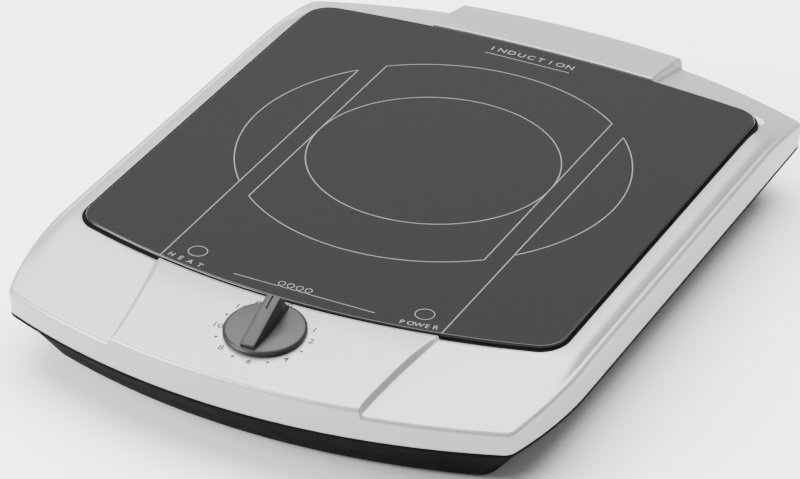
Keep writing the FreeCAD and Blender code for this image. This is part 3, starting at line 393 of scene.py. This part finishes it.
def glass_plan(growth, spacing):
    """The glass plate's outline, grown by an amount."""
    half, front, back = GLASS_HALF + growth, GLASS_FRONT_RADIUS + growth, GLASS_BACK_RADIUS + growth
    front_y = GLASS_FRONT + GLASS_FRONT_RADIUS - math.sqrt(front ** 2 - half ** 2)
    back_y = GLASS_BACK - GLASS_BACK_RADIUS + math.sqrt(back ** 2 - half ** 2)
    radius = GLASS_CORNER + growth
    corners = [(-half, front_y, radius, front), (half, front_y, radius, None),
               (half, back_y, radius, back), (-half, back_y, radius, None)]
    return rounded_outline(corners, spacing)


def lifted(loop, height_at):
    """The plan loop at a height, which may depend on the place."""
    return [Vector((p.x, p.y, height_at(p.x, p.y) if callable(height_at) else height_at)) for p in loop]


def silver_cover():
    """The moulded silver top: soft steps, a tight front edge and rounded sides, as one closed shell."""
    outer = cover_plan(COVER_SPACING)
    foot_high = 0.004
    lower_wall = [(0, DRAFT + 0.0005), (0.0004, DRAFT), (0.0012, 0.95 * DRAFT), (foot_high, 0.8 * DRAFT)]
    rings = [lifted(inset(outer, distance), COVER_BOTTOM + height) for height, distance in lower_wall]
    edge = inset(outer, EDGE_ROUND)
    tops = [cover_height(p.x, p.y) for p in edge]
    start = COVER_BOTTOM + foot_high
    for share in (0.35, 0.7):
        wall = inset(outer, 0.8 * DRAFT * (1 - share))
        rings.append([Vector((p.x, p.y, start + (top - EDGE_ROUND - start) * share))
                      for p, top in zip(wall, tops)])
    for step in range(9):
        angle = math.pi / 2 * step / 8
        loop = inset(outer, EDGE_ROUND * (1 - math.cos(angle)))
        rings.append([Vector((p.x, p.y, top - EDGE_ROUND * (1 - math.sin(angle))))
                      for p, top in zip(loop, tops)])
    inner = onto_loop(edge, glass_plan(SEAL, COVER_SPACING), Vector((0, 0.02)))
    steps = 40
    for step in range(1, steps + 1):
        share = step / steps
        rings.append(lifted([a.lerp(b, share) for a, b in zip(edge, inner)], cover_height))
    seat = TOP - 0.0046
    rings.append([Vector((p.x, p.y, p.z - 0.0004)) for p in rings[-1]])
    rings.append(lifted(inner, seat))
    hollow = inset(outer, COVER_WALL + DRAFT)
    rings.append([Vector((p.x, p.y, min(seat, top - 0.003))) for p, top in zip(hollow, tops)])
    rings.append(lifted(hollow, COVER_BOTTOM + 0.0006))
    rings.append(lifted(inset(outer, COVER_WALL + DRAFT - 0.0006), COVER_BOTTOM))
    piece = rings_piece("silver_cover", rings, MATERIALS["cover_plastic"])
    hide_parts("top_cover")
    return piece


# ---- prints on the glass and on the panel ------------------------------------------------------------------

def glass_top(x, y):
    """Height of the glass plate's top."""
    return TOP


def second_layer(x, y):
    """Height of a print that crosses another one on the glass."""
    return TOP + INK / 3


def ribbon(points, closed, width, height_at):
    """Vertices and faces of a thin printed band along a plan line."""
    count = len(points)
    vertices, faces = [], []
    for index, point in enumerate(points):
        before = points[index - 1] if index or closed else point
        after = points[(index + 1) % count] if index < count - 1 or closed else point
        side = Vector((before.y - after.y, after.x - before.x)).normalized() * width / 2
        for shift, level in ((side, 0), (side, INK), (-side, INK), (-side, 0)):
            spot = point + shift
            vertices.append(Vector((spot.x, spot.y, height_at(spot.x, spot.y) + level)))
    for index in range(count if closed else count - 1):
        low, high = 4 * index, 4 * ((index + 1) % count)
        for corner in range(4):
            following = (corner + 1) % 4
            faces.append((low + corner, low + following, high + following, high + corner))
    if not closed:
        faces += [(3, 2, 1, 0), tuple(4 * count - 4 + corner for corner in range(4))]
    return vertices, faces


def coin(centre, radius, height_at):
    """Vertices and faces of a thin printed dot."""
    rim = arc(centre, radius, 0, 2 * math.pi, 20)[:-1]
    vertices = [Vector((p.x, p.y, height_at(p.x, p.y) + level)) for level in (0, INK) for p in rim]
    count = len(rim)
    faces = [tuple(reversed(range(count))), tuple(range(count, 2 * count))]
    faces += [(i, (i + 1) % count, count + (i + 1) % count, count + i) for i in range(count)]
    return vertices, faces


def letter(character, centre, turn, height, stretch, height_at, bold=0):
    """Vertices and faces of one printed letter, centred on a point and turned in plan."""
    curve = bpy.data.curves.new("letter", type="FONT")
    curve.body = character
    curve.offset = bold
    curve.extrude = 1
    holder = bpy.data.objects.new("letter", curve)
    mesh = bpy.data.meshes.new_from_object(holder)
    spots = [vertex.co.copy() for vertex in mesh.vertices]
    faces = [tuple(polygon.vertices) for polygon in mesh.polygons]
    bpy.data.meshes.remove(mesh)
    bpy.data.objects.remove(holder)
    bpy.data.curves.remove(curve)
    middle = (min(p.x for p in spots) + max(p.x for p in spots)) / 2
    scale = height / CAP_HEIGHT
    vertices = []
    for p in spots:
        flat = Vector(((p.x - middle) * scale * stretch, (p.y - CAP_HEIGHT / 2) * scale))
        flat.rotate(Matrix.Rotation(turn, 2))
        x, y = centre[0] + flat.x, centre[1] + flat.y
        vertices.append(Vector((x, y, height_at(x, y) + (INK if p.z > 0 else 0))))
    return vertices, faces


def print_piece(name, parts, look):
    """Several printed marks as one piece."""
    vertices, faces = [], []
    for spots, sides in parts:
        start = len(vertices)
        vertices += spots
        faces += [tuple(start + index for index in side) for side in sides]
    return mesh_piece(name, vertices, faces, look, smooth=False)


def zone_marks():
    """The cooking zone's circle, the barrel round it, and the two half rounds with their long lines."""
    centre = (ZONE.x, ZONE.y)
    parts = [ribbon(arc(centre, INNER_RING, 0, 2 * math.pi, 240)[:-1], True, LINE_WIDTH, second_layer)]
    reach = math.acos(INNER_LINE / OUTER_ARC)
    back_arc = arc(centre, OUTER_ARC, reach, math.pi - reach, 90)
    front_arc = arc(centre, OUTER_ARC, math.pi + reach, 2 * math.pi - reach, 90)
    parts.append(ribbon(back_arc + front_arc, True, LINE_WIDTH, glass_top))
    side_reach = math.acos(OUTER_LINE / OUTER_ARC)
    glass_edge = GLASS_FRONT + OUTER_LINE ** 2 / (2 * GLASS_FRONT_RADIUS) + 0.0008
    for side in (-1, 1):
        middle = 0 if side > 0 else math.pi
        bow = arc(centre, OUTER_ARC, middle - side_reach, middle + side_reach, 90)
        parts.append(ribbon(bow, False, LINE_WIDTH, glass_top))
        back_end = Vector((side * OUTER_LINE, ZONE.y + OUTER_ARC * math.sin(side_reach)))
        front_end = Vector((side * OUTER_LINE, glass_edge))
        parts.append(ribbon([back_end, front_end], False, LINE_WIDTH, glass_top))
    return print_piece("zone_marks", parts, PRINT)


def word_on_arc(word, start, pitch, height):
    """Letters in step with the arc of the glass plate's front edge, the first at a distance across."""
    parts = []
    for index, character in enumerate(word):
        x = start + index * pitch
        y = GLASS_FRONT + 0.0049 + x ** 2 / (2 * GLASS_FRONT_RADIUS)
        parts.append(letter(character, (x, y), math.asin(x / GLASS_FRONT_RADIUS), height, 1.0, glass_top))
    return parts


def glass_lettering():
    """Lamp circles with their words, and a plain word with a rule under it at the back."""
    parts = []
    for side in (-1, 1):
        ring = arc((side * LAMP_X, LAMP_Y), LAMP_RING, 0, 2 * math.pi, 60)[:-1]
        parts.append(ribbon(ring, True, 0.00045, glass_top))
    parts += word_on_arc("HEAT", -0.0770, 0.0061, 0.0036)
    parts += word_on_arc("POWER", 0.0592, 0.00445, 0.0036)
    word, left, width, word_y, rule_y = "INDUCTION", -0.0290, 0.0545, 0.1625, 0.1562
    for index, character in enumerate(word):
        x = left + width * (index + 0.5) / len(word)
        parts.append(letter(character, (x, word_y), 0, 0.0043, 1.15, glass_top))
    rule = [Vector((-0.0280, rule_y)), Vector((0.0245, rule_y))]
    parts.append(ribbon(rule, False, 0.0005, glass_top))
    return print_piece("glass_lettering", parts, PRINT)


def coil_sign():
    """A long thin line that rises into four loops, like a coil drawn from the side."""
    points = []
    loops, left, right, base = 4, -0.039, 0.043, -0.1275
    for step in range(41):
        points.append(Vector((left + 0.024 * step / 40, base)))
    start, pitch, radius = points[-1].x, 0.0052, 0.0026
    for step in range(1, 30 * loops + 1):
        angle = 2 * math.pi * step / 30
        points.append(Vector((start + pitch * angle / (2 * math.pi) + 1.15 * radius * math.sin(angle),
                              base + radius * (1 - math.cos(angle)))))
    end = points[-1].x
    for step in range(1, 41):
        points.append(Vector((end + (right - end) * step / 40, base)))
    return print_piece("coil_sign", [ribbon(points, False, 0.00042, glass_top)], PRINT)


def dial_marks():
    """Numbers and dots round the knob, on the sloped panel."""
    parts = []
    first, step = 62.2, 21.86
    marks = [("0", 2.5), ("1", first)]
    marks += [(text, first + step * (index + 1))
              for index, text in enumerate(("2", "", "4", "", "6", "", "8", "", "10", "", "12", "0"))]
    for text, degrees in marks:
        angle = math.radians(degrees)
        x = DIAL_RADIUS * math.sin(angle)
        y = KNOB.y + DIAL_RADIUS * math.cos(angle) * math.cos(PANEL_TILT)
        if not text:
            parts.append(coin((x, y), 0.0009, cover_height))
        for index, character in enumerate(text):
            shift = (index - (len(text) - 1) / 2) * 0.0033
            parts.append(letter(character, (x + shift, y), 0, 0.0036, 1.2, cover_height, 0.025))
    return print_piece("dial_marks", parts, DIAL_INK)


# ---- knob ------------------------------------------------------------------------------------------------

def on_panel_axis(point):
    """A point given from the knob's foot, in the knob's own directions, as a place in the frame."""
    turned = Matrix.Rotation(PANEL_TILT, 3, "X") @ Vector((point[0], point[1], point[2] + KNOB_GAP))
    return KNOB + turned


def knob_disc():
    """Rings of the flat round disc, with a sloped rim band and soft edges."""
    profile = [(0.0, 0.0006), (0.0206, 0.0006), (0.0206, 0.0), (0.0215, 0.0), (KNOB_RADIUS, 0.0004),
               (KNOB_RADIUS, 0.0016), (0.02175, 0.0019), (0.0208, 0.00265), (0.0204, 0.00285),
               (0.0199, DISC_TOP - 0.00005), (0.0194, DISC_TOP), (0.0, DISC_TOP)]
    count = 160
    vertices, faces = [], []
    for radius, height in profile[1:-1]:
        for step in range(count):
            angle = 2 * math.pi * step / count
            vertices.append(on_panel_axis((radius * math.cos(angle), radius * math.sin(angle), height)))
    for row in range(len(profile) - 3):
        for step in range(count):
            following = (step + 1) % count
            low, high = row * count, (row + 1) * count
            faces.append((low + step, low + following, high + following, high + step))
    vertices += [on_panel_axis((0, 0, profile[0][1])), on_panel_axis((0, 0, profile[-1][1]))]
    last = (len(profile) - 3) * count
    for step in range(count):
        following = (step + 1) % count
        faces.append((len(vertices) - 2, following, step))
        faces.append((len(vertices) - 1, last + step, last + following))
    return vertices, faces


def grip_top(y):
    """Height of the grip along the knob: it climbs to its crest and drops behind it."""
    if y < GRIP_CREST:
        share = (y - GRIP_FRONT) / (GRIP_CREST - GRIP_FRONT)
        return GRIP_FRONT_TOP + (GRIP_CREST_TOP - GRIP_FRONT_TOP) * share
    share = (y - GRIP_CREST) / (GRIP_BACK - GRIP_CREST)
    return GRIP_CREST_TOP + (DISC_TOP + 0.0004 - GRIP_CREST_TOP) * share


def knob_grip():
    """Sections of the wedge grip: flanks that swell at their foot, and a pointer groove along the crest."""
    lengths = [GRIP_FRONT + 0.0003 * math.sin(step) for step in (0, 0.8, 1.57)]
    lengths += [GRIP_FRONT + 0.0003 + (GRIP_CREST - 0.0002 - GRIP_FRONT - 0.0003) * step / 30
                for step in range(1, 31)]
    lengths += [GRIP_CREST + 0.0002 + (GRIP_BACK - GRIP_CREST - 0.0002) * step / 12 for step in range(13)]
    vertices, faces = [], []
    for index, y in enumerate(lengths):
        top = grip_top(y) - (0.0003, 0.0001, 0.0)[index] if index < 3 else grip_top(y)
        middle = (GRIP_FRONT + GRIP_BACK) / 2
        share = 1 - ((y - middle) / (GRIP_BACK - middle)) ** 2
        foot = GRIP_HALF + GRIP_BULGE * max(0, share)
        depth = 0.0009 * smooth_step(y - 0.0030, 0.0004)
        low = DISC_TOP - 0.0005
        half = [(foot, low), (foot, DISC_TOP + 0.0003), (GRIP_HALF + 0.0002, top - 0.0007 + 0.0003),
                (GRIP_HALF, top - 0.00015), (GRIP_HALF - 0.0003, top), (0.0007, top), (0.00055, top - depth)]
        half = [(x, max(z, low + 0.00001 * number)) for number, (x, z) in enumerate(half)]
        section = half + [(-x, z) for x, z in reversed(half)]
        vertices += [on_panel_axis((x, y, z)) for x, z in section]
    count = 14
    for row in range(len(lengths) - 1):
        low, high = row * count, (row + 1) * count
        for step in range(count):
            following = (step + 1) % count
            faces.append((low + following, low + step, high + step, high + following))
    faces.append(tuple(range(count)))
    faces.append(tuple(reversed(range(len(vertices) - count, len(vertices)))))
    return vertices, faces


def visual_knob():
    """The knob: disc and grip in one piece that turns with the shaft."""
    vertices, faces = knob_disc()
    spots, sides = knob_grip()
    start = len(vertices)
    faces = faces + [tuple(start + index for index in side) for side in sides]
    piece = mesh_piece("knob", vertices + spots, faces, MATERIALS["knob_plastic"], "knob")
    piece.data.set_sharp_from_angle(angle=math.radians(38))
    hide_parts("control_knob")
    return piece


# ---- carried-over CAD nodes -------------------------------------------------------------------------------

SOFT_EDGES = {"base_tray": 0.0005, "rubber_foot_front_left": 0.0006, "rubber_foot_front_right": 0.0006,
              "rubber_foot_rear_left": 0.0006, "rubber_foot_rear_right": 0.0006, "cord_gland": 0.0005,
              "glass_plate": 0.00015, "glass_seal": 0.0002}


def dress_cad_nodes():
    """Give every carried-over node its material, and soften the edges of the ones that can be seen."""
    for row in frame["record"]["subparts"]:
        node = NODES[row["node"]]
        node.data.materials.clear()
        node.data.materials.append(MATERIALS[row["material_slot"]])
    for name, width in SOFT_EDGES.items():
        node = NODES[name]
        weld = node.modifiers.new("weld", "WELD")
        weld.merge_threshold = 0.000005
        bevel = node.modifiers.new("bevel", "BEVEL")
        bevel.width = width
        bevel.segments = 2
        bevel.limit_method = "ANGLE"
        bevel.angle_limit = math.radians(35)
        bevel.harden_normals = True


# ---- floor, light and camera ------------------------------------------------------------------------

def floor():
    """A wide pale floor with a faint texture."""
    size = 6
    mesh = bpy.data.meshes.new("floor")
    corners = [(-size, -size, 0), (size, -size, 0), (size, size, 0), (-size, size, 0)]
    mesh.from_pydata(corners, [], [(0, 1, 2, 3)])
    thing = bpy.data.objects.new("floor", mesh)
    bpy.context.scene.collection.objects.link(thing)
    look = material("floor_white", (0.97, 0.97, 0.97), 0.7)
    vary(look, 4, (0.965, 0.965, 0.965), (0.975, 0.975, 0.975), 0.68, 0.75)
    mesh.materials.append(look)


def area_light(name, at, towards, size, power):
    """A rectangular softbox."""
    data = bpy.data.lights.new(name, "AREA")
    data.shape = "RECTANGLE"
    data.size, data.size_y = size
    data.energy = power
    light = bpy.data.objects.new(name, data)
    bpy.context.scene.collection.objects.link(light)
    light.location = at
    light.rotation_euler = (Vector(towards) - Vector(at)).to_track_quat("-Z", "Y").to_euler()


def lighting():
    """Soft studio light: a big box overhead and behind, a fill in front, and an even surround."""
    area_light("overhead", (-0.2, 0.45, 1.6), (0, 0, 0), (2.4, 1.8), 150)
    area_light("front_left", (-1.5, -1.5, 1.2), (0, 0, 0), (1.4, 1.2), 120)
    world = bpy.data.worlds.new("surround")
    world.use_nodes = True
    world.node_tree.nodes["Background"].inputs["Color"].default_value = (1, 1, 1, 1)
    world.node_tree.nodes["Background"].inputs["Strength"].default_value = 0.5
    bpy.context.scene.world = world


def camera():
    """A long lens in front, to the right and above."""
    azimuth, elevation, roll = math.radians(25.448), math.radians(30.753), math.radians(1.520)
    distance, target = 2.2277, Vector((0.021847, -0.061979, TOP))
    back = Vector((math.sin(azimuth) * math.cos(elevation), -math.cos(azimuth) * math.cos(elevation),
                   math.sin(elevation)))
    level = Vector((math.cos(azimuth), math.sin(azimuth), 0))
    upright = back.cross(level)
    right = level * math.cos(roll) + upright * math.sin(roll)
    up = upright * math.cos(roll) - level * math.sin(roll)
    data = bpy.data.cameras.new("camera")
    data.lens, data.sensor_width = 189.58, 36
    view = bpy.data.objects.new("camera", data)
    bpy.context.scene.collection.objects.link(view)
    view.matrix_world = Matrix((right, up, back)).transposed().to_4x4()
    view.location = target + back * distance
    bpy.context.scene.camera = view


silver_cover()
zone_marks()
glass_lettering()
coil_sign()
dial_marks()
visual_knob()
dress_cad_nodes()
floor()
lighting()
camera()
